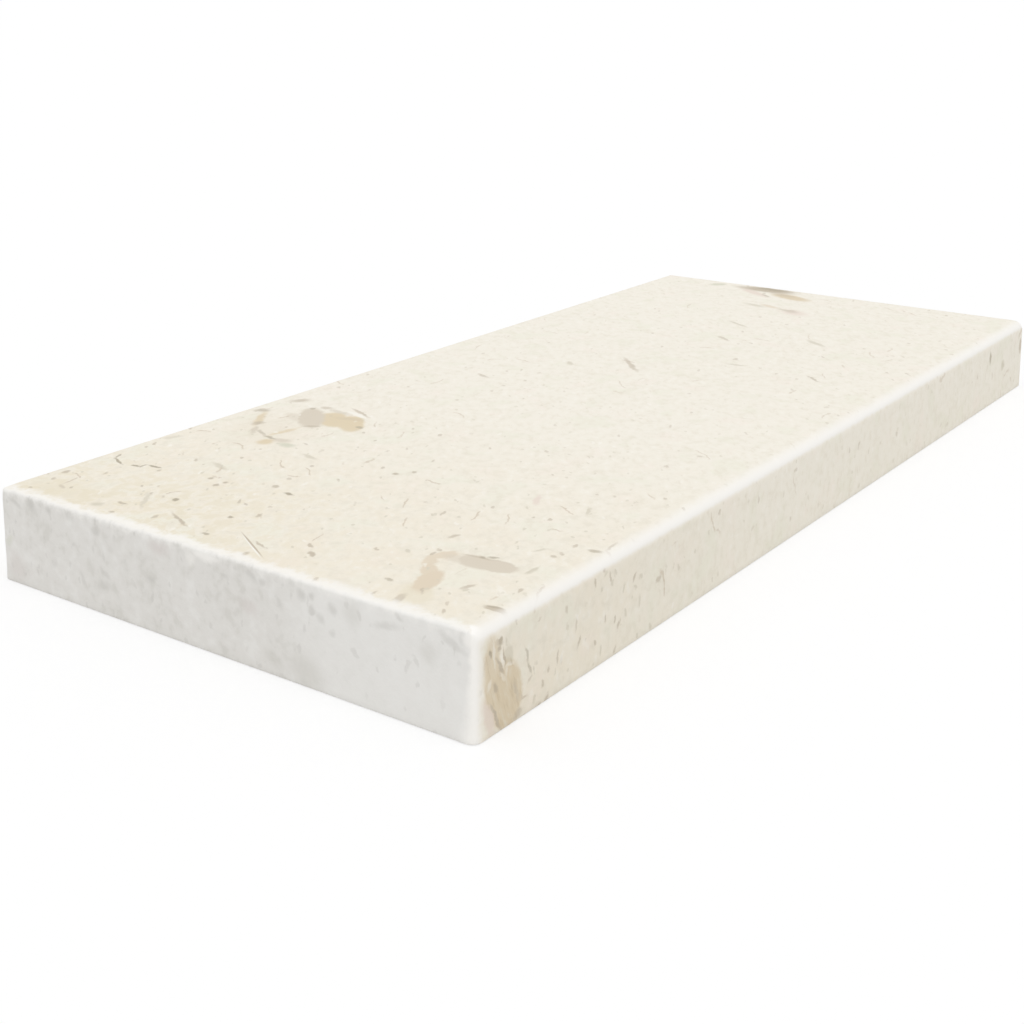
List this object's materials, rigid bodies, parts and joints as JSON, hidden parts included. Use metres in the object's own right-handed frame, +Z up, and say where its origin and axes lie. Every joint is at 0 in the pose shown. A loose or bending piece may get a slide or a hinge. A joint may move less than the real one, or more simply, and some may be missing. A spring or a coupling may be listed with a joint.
{
  "type": "coping stone",
  "caption": "Flat sawn limestone coping slab with rubbed round arrises along the top of its long front face, its left end and the corner between them.",
  "frame": {"origin": "middle of the stone's bounding box, on its flat bed face", "axes": "+X along the stone, away from the rubbed end; +Y across the wall, from the rubbed front face to the back; +Z up through the thickness"},
  "size_m": [0.685, 0.305, 0.05],
  "materials": {
    "limestone": "honed, with fine shell flecks; sawn and greyer on the ends, paler on the rubbed arrises"
  },
  "bodies": {
    "root": {"coping_stone": "limestone"}
  },
  "joints": []
}
